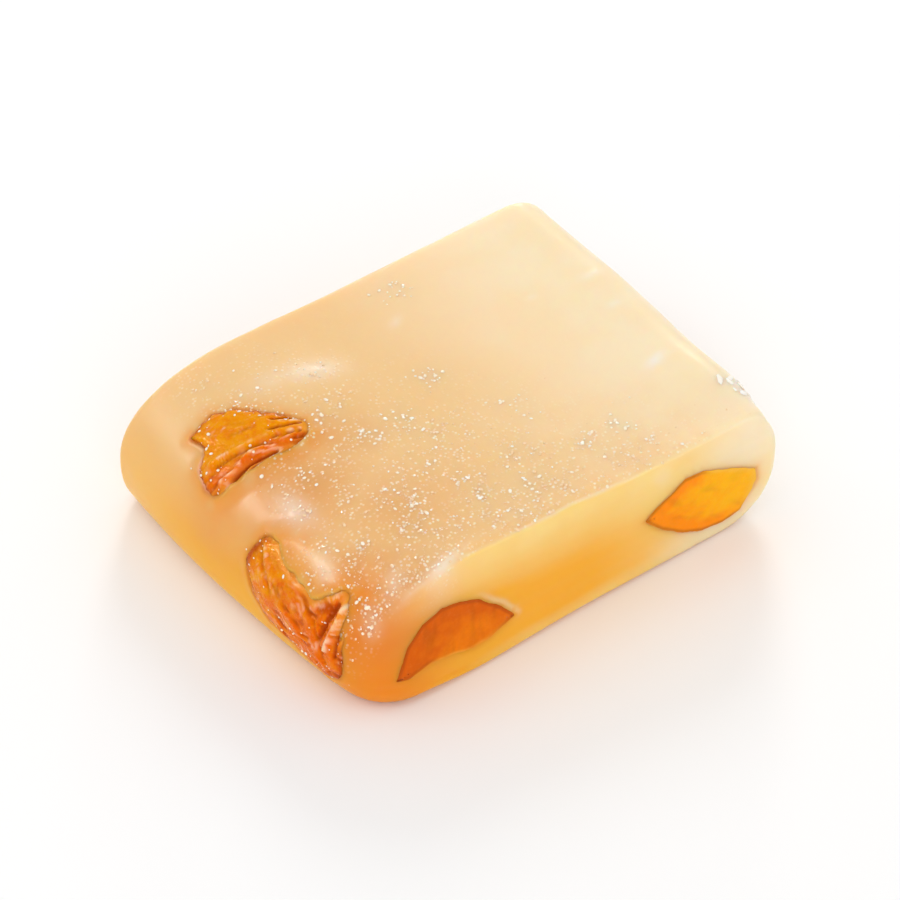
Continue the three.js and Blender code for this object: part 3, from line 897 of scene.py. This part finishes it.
def jelly_material():
    material, tree, shader = new_material(
        "milky_jelly", Subsurface_Weight=1.0, Subsurface_Radius=(1.0, 0.7, 0.4), Subsurface_Scale=0.0015,
        Subsurface_Anisotropy=0.2, IOR=1.4, Specular_IOR_Level=0.18)
    cloud = remap(tree, noise_at(tree, 4.5), 0.35, 0.65)
    skin = mix_colour(tree, cloud, SKIN_LIGHT, SKIN_CLOUD)
    # Painted shade: the skin darker towards the left, away from the light.
    skin = mix_colour(tree, attribute(tree, "shaded_left"), skin, SKIN_SHADED)
    # Painted shade: skin and cuts a deeper orange low down and towards the left and front.
    skin = mix_colour(tree, attribute(tree, "deep"), skin, SKIN_DEEP)
    cut = mix_colour(tree, cloud, CUT_LIGHT, CUT_CLOUD)
    cut = mix_colour(tree, attribute(tree, "deep"), cut, CUT_DEEP)
    colour = mix_colour(tree, attribute(tree, "cut"), skin, cut)
    colour = tint(tree, colour, "frost", 0.6, UNDER_FROST)
    colour = tint(tree, colour, "peach", 0.85, OVER_FRUIT)
    # Painted glow of the fruit through the jelly, along the foot and at the front left corner.
    colour = tint(tree, colour, "halo", 0.9, FRUIT_GLOW)
    # The dark line by the fruit, and painted shade at the front left corner.
    colour = tint(tree, colour, "rim", 0.8, FRUIT_LINE)
    mask, height = frosting(tree, attribute(tree, "frost"))
    colour = mix_colour(tree, mask, colour, FROST_WHITE)
    # Painted highlights and painted light, and the paler right end of the front cut.
    colour = mix_colour(tree, attribute(tree, "pale"), colour, GLINT_PALE)
    tree.links.new(colour, shader.inputs["Base Color"])
    tree.links.new(remap(tree, mask, 0.0, 0.6, 0.36, 0.6), shader.inputs["Roughness"])
    tree.links.new(bump(tree, height, distance_mm=0.05, strength=0.6), shader.inputs["Normal"])
    return material


def flesh_group():
    """Candied fruit flesh: lighter and deeper flesh, fibres, dark creases of painted shade and a dark rim."""
    tree, given, result = new_group(
        "candied_flesh",
        [("Light", "NodeSocketColor", None), ("Deep", "NodeSocketColor", None),
         ("Crease", "NodeSocketColor", None), ("Veil", "NodeSocketColor", None),
         ("Mottle", "NodeSocketFloat", 1.0), ("Frost", "NodeSocketFloat", 0.3)],
        [("Color", "NodeSocketColor"), ("Height", "NodeSocketFloat"), ("Wet", "NodeSocketFloat")])
    patch = remap(tree, noise_at(tree, 0.9, 4.0, 0.65), 0.34, 0.66, -0.25, 0.55)
    patch = math_node(tree, "MULTIPLY", patch, given.outputs["Mottle"])
    tone = math_node(tree, "ADD", attribute(tree, "redder"), patch, clamp=True)
    flesh = mix_colour(tree, tone, given.outputs["Light"], given.outputs["Deep"])
    # Darker along the fibres, and on crumpled fruit painted shade in the folds of the crinkles.
    shade = tree.nodes.new("ShaderNodeVectorMath")
    shade.operation = "SCALE"
    tree.links.new(flesh, shade.inputs[0])
    tree.links.new(remap(tree, attribute(tree, "strand"), 0.1, 0.5, 0.70, 1.0), shade.inputs["Scale"])
    colour = tint(tree, shade.outputs[0], "veil", 0.85, given.outputs["Veil"])
    # Painted shade in the creases.
    colour = tint(tree, colour, "crease", 0.85, given.outputs["Crease"])
    colour = tint(tree, colour, "rim", 0.85, given.outputs["Crease"])
    mask, height = frosting(tree, given.outputs["Frost"])
    colour = mix_colour(tree, scaled(tree, mask, 0.5), colour, SYRUP_FROST)
    # Painted sheen in pale streaks along the folds.
    colour = tint(tree, colour, "sheen", 0.8, SHEEN_PALE)
    tree.links.new(colour, result.inputs["Color"])
    fine = noise_at(tree, 0.3, 3.0, 0.6)
    tree.links.new(math_node(tree, "ADD", fine, height), result.inputs["Height"])
    tree.links.new(remap(tree, fine, 0.35, 0.65), result.inputs["Wet"])
    return tree


FLESH = flesh_group()


def fruit_material(name, colours, mottle, frost_amount, roughness, bump_mm, soft):
    material, tree, shader = new_material(
        name, Subsurface_Weight=soft, Subsurface_Radius=(0.5, 0.3, 0.15), Subsurface_Scale=0.0009,
        IOR=1.45, Specular_IOR_Level=0.15, Specular_Tint=(1.0, 0.55, 0.25, 1.0))
    flesh = tree.nodes.new("ShaderNodeGroup")
    flesh.node_tree = FLESH
    for label, colour in zip(("Light", "Deep", "Crease", "Veil"), colours):
        flesh.inputs[label].default_value = (*colour, 1.0)
    flesh.inputs["Mottle"].default_value = mottle
    flesh.inputs["Frost"].default_value = frost_amount
    tree.links.new(flesh.outputs["Color"], shader.inputs["Base Color"])
    tree.links.new(remap(tree, flesh.outputs["Wet"], 0.0, 1.0, *roughness), shader.inputs["Roughness"])
    tree.links.new(bump(tree, flesh.outputs["Height"], bump_mm, strength=0.7), shader.inputs["Normal"])
    return material


def grain_material(name, dull, bright):
    """Sugar: clear grains, some dull and some bright."""
    material, tree, shader = new_material(name, IOR=1.5, Specular_IOR_Level=0.4)
    share = remap(tree, noise_at(tree, 0.7, 2.0, 0.6), 0.5, 0.66)
    tree.links.new(mix_colour(tree, share, dull, bright), shader.inputs["Base Color"])
    tree.links.new(remap(tree, noise_at(tree, 0.8, 1.0), 0.3, 0.7, 0.1, 0.25), shader.inputs["Roughness"])
    return material


add_piece("jelly_skin", jelly_mesh, jelly_material(), ["jelly"])

CRUMPLED = {"mottle": 1.0, "frost_amount": 0.2, "roughness": (0.32, 0.1), "bump_mm": 0.08, "soft": 1.0}
SLICED = {"mottle": 0.4, "frost_amount": 0.06, "roughness": (0.6, 0.4), "bump_mm": 0.02, "soft": 0.3}
fruit_finish = {
    "crumpled_amber": fruit_material("crumpled_amber", AMBER, **CRUMPLED),
    "sliced_amber": fruit_material("sliced_amber", AMBER, **SLICED),
    "sliced_orange": fruit_material("sliced_orange", ORANGE, **SLICED),
    "sliced_gold": fruit_material("sliced_gold", GOLD, **SLICED),
}
crumpled = []
for name, lump in FRUIT.items():
    finish = fruit_finish[lump["finish"]]
    piece = add_piece(name.replace("fruit_", "candied_"), make_lump(name, lump), finish, [name])
    if lump["rise"]:
        crumpled.append((piece.data, lump))


# ---------------------------------------------------------------- sugar

def scatter(name, places, smooth=False):
    """Joins one small ball for each place: middle, outward way, spin, and length, breadth and height."""
    bm = bmesh.new()
    if smooth:
        bmesh.ops.create_uvsphere(bm, u_segments=8, v_segments=5, radius=1.0)
    else:
        bmesh.ops.create_icosphere(bm, subdivisions=1, radius=1.0)
    ball = to_mesh(bm, "ball")
    bm = bmesh.new()
    for middle, outward, spin, sizes in places:
        turn = outward.to_track_quat("Z", "Y").to_matrix().to_4x4() @ Matrix.Rotation(spin, 4, "Z")
        one = ball.copy()
        one.transform(Matrix.Translation(middle) @ turn @ Matrix.Diagonal((*sizes, 1.0)))
        bm.from_mesh(one)
        bpy.data.meshes.remove(one)
    bpy.data.meshes.remove(ball)
    mesh = to_mesh(bm, name)
    if not smooth:
        mesh.shade_flat()
    return mesh


SKIN_POINTS, SKIN_NORMALS = read_points(jelly_mesh), read_points(jelly_mesh, "normal")
FULL_TURN = 6.3  # radians, rounded up


def chosen(weight, count, pick):
    """Indices of skin points, drawn by weight."""
    total = np.cumsum(weight)
    return [int(np.searchsorted(total, pick.random() * total[-1])) for _ in range(count)]


def sit_on_skin(index, pick, radius, flatness):
    """A ball that sits on the skin at a point, a little to one side of it."""
    outward = Vector(SKIN_NORMALS[index])
    anyway = Vector((pick.uniform(-1, 1), pick.uniform(-1, 1), pick.uniform(-1, 1)))
    aside = outward.cross(anyway).normalized()
    middle = Vector(SKIN_POINTS[index]) + aside * pick.uniform(0.0, 0.1) * MM
    sizes = (radius * pick.uniform(0.9, 1.7), radius, radius * flatness * pick.uniform(0.7, 1.3))
    return middle, outward, pick.uniform(0.0, FULL_TURN), sizes


def frost_grains(count, seed):
    """Fine grains, thickest where the skin is frosted. Most are small."""
    pick = random.Random(seed)
    weight = frosted ** 2.2 + 0.03 * by_fruit
    return [sit_on_skin(i, pick, MM * (0.03 + 0.11 * pick.random() ** 5), 0.6)
            for i in chosen(weight, count, pick)]


def droplets(count, seed):
    """Flat beads of syrup and sugar, in clusters on the top."""
    pick = random.Random(seed)
    clusters = np.zeros(len(SKIN_POINTS))
    for cx, cy in DROPLET_CLUSTERS:
        clusters += hump(np.hypot(base[:, 0] - cx, base[:, 1] - cy), CLUSTER_RADIUS)
    weight = (0.10 * frosted ** 2 + clusters) * (SKIN_NORMALS[:, 2] > 0.3) + 0.02 * by_fruit
    return [sit_on_skin(i, pick, MM * (0.06 + 0.09 * pick.random() ** 2), 0.3)
            for i in chosen(weight, count, pick)]


def fruit_droplets(count, seed):
    """Beads of syrup and sugar on each of the crumpled pieces of fruit."""
    pick = random.Random(seed)
    places = []
    for mesh, lump in crumpled:
        points, normals = read_points(mesh), read_points(mesh, "normal")
        veil, out = mesh.attributes["veil"].data, lump_axes(lump["frame"])[3]
        open_faces = [i for i in range(len(points)) if normals[i] @ out > 0.5 and veil[i].value < 0.6]
        for i in pick.sample(open_faces, count):
            radius = MM * (0.035 + 0.09 * pick.random() ** 3)
            spin = pick.uniform(0.0, FULL_TURN)
            sizes = (radius * pick.uniform(0.9, 1.8), radius, 0.6 * radius)
            places.append((Vector(points[i]), Vector(normals[i]), spin, sizes))
    return places


def flakes(seed):
    """A few loose chips of sugar at the sharp corner of the top."""
    pick = random.Random(seed)
    not_on_top = 9.0 * (base_normals[:, 2] < 0.3)
    places = []
    for cx, cy in PALE_FLAKES:
        nearest = int(np.argmin(np.hypot(base[:, 0] - cx, base[:, 1] - cy) + not_on_top))
        size = pick.uniform(0.12, 0.3) * MM
        leaning = Vector(SKIN_NORMALS[nearest])
        leaning += Vector((pick.uniform(-0.4, 0.4), pick.uniform(-0.4, 0.4), 0.0))
        spin = pick.uniform(0.0, FULL_TURN)
        sizes = (size * pick.uniform(1.2, 2.2), size, 0.35 * size)
        places.append((Vector(SKIN_POINTS[nearest]), leaning, spin, sizes))
    return places


grain = grain_material("sugar_grain", dull=(0.95, 0.68, 0.41), bright=(1.0, 0.93, 0.80))
bead = grain_material("sugar_bead", dull=(1.0, 0.86, 0.65), bright=(1.0, 0.97, 0.88))
chip = grain_material("sugar_chip", dull=(1.0, 0.93, 0.83), bright=(1.0, 0.98, 0.94))
add_piece("pale_flakes", scatter("pale_flakes", flakes(seed=2)), chip)
add_piece("frost_grains", scatter("frost_grains", frost_grains(count=1600, seed=11)), grain)
beads = droplets(count=300, seed=5) + fruit_droplets(count=45, seed=6)
add_piece("sugar_droplets", scatter("sugar_droplets", beads, smooth=True), bead)


# ---------------------------------------------------------------- floor, light and camera

# The camera, as fitted to the photograph: degrees, metres, and the lens on a sensor 36 mm wide.
CAMERA_AZIMUTH, CAMERA_ELEVATION = -36.6, 43.3
CAMERA_DISTANCE, CAMERA_LENS, SENSOR_WIDTH = 0.4, 228.5, 36.0
AIM_ABOVE, AIM_LEFT = 0.0036, 0.0003
FLOOR_HALF_SIZE = 1.5
ROOM_LIGHT = 0.74


def plain_floor():
    bm = bmesh.new()
    bmesh.ops.create_grid(bm, x_segments=1, y_segments=1, size=FLOOR_HALF_SIZE)
    mesh = to_mesh(bm, "floor")
    floor = bpy.data.objects.new("floor", mesh)
    bpy.context.scene.collection.objects.link(floor)
    material, _, _ = new_material("pale_floor", Base_Color=(0.96, 0.958, 0.955, 1.0), Roughness=0.6)
    mesh.materials.append(material)


def softbox(name, direction, distance, size, watts, lights=True, glints=True):
    """A round lamp that looks at the sweet. lights and glints say whether it shades and shines on it."""
    data = bpy.data.lights.new(name, "AREA")
    data.shape, data.size, data.energy = "DISK", size, watts
    lamp = bpy.data.objects.new(name, data)
    way = Vector(direction).normalized()
    lamp.location = way * distance
    lamp.rotation_euler = way.to_track_quat("Z", "Y").to_euler()
    lamp.visible_diffuse, lamp.visible_glossy = lights, glints
    bpy.context.scene.collection.objects.link(lamp)


def photo_camera():
    azimuth, elevation = math.radians(CAMERA_AZIMUTH), math.radians(CAMERA_ELEVATION)
    level = math.cos(elevation)
    back = Vector((math.sin(azimuth) * level, -math.cos(azimuth) * level, math.sin(elevation)))
    right = Vector((math.cos(azimuth), math.sin(azimuth), 0.0))
    up = back.cross(right)
    data = bpy.data.cameras.new("camera")
    data.sensor_width, data.lens, data.clip_start = SENSOR_WIDTH, CAMERA_LENS, 0.01
    camera = bpy.data.objects.new("camera", data)
    origin = Vector(to_middle) * MM
    camera.location = origin + back * CAMERA_DISTANCE
    aim = origin + up * AIM_ABOVE - right * AIM_LEFT
    camera.rotation_euler = (camera.location - aim).to_track_quat("Z", "Y").to_euler()
    bpy.context.scene.collection.objects.link(camera)
    bpy.context.scene.camera = camera


def room():
    world = bpy.data.worlds.new("studio")
    bpy.context.scene.world = world
    world.use_nodes = True
    background = world.node_tree.nodes["Background"]
    background.inputs["Color"].default_value = (1.0, 1.0, 1.0, 1.0)
    background.inputs["Strength"].default_value = ROOM_LIGHT


plain_floor()
room()
softbox("back_window", (0.55, 0.68, 0.50), distance=0.5, size=0.16, watts=0.62, glints=False)
softbox("overhead", (-0.3, 0.1, 1.0), distance=0.6, size=0.5, watts=0.45)
softbox("front_fill", (-0.5, -0.8, 0.35), distance=0.7, size=0.5, watts=1.1)
softbox("glint_right", (0.62, 0.74, 0.26), distance=0.5, size=0.07, watts=0.6, lights=False)
softbox("glint_left", (-0.52, 0.50, 0.69), distance=0.5, size=0.07, watts=2.4, lights=False)
photo_camera()
bpy.context.scene.view_settings.view_transform = "Standard"
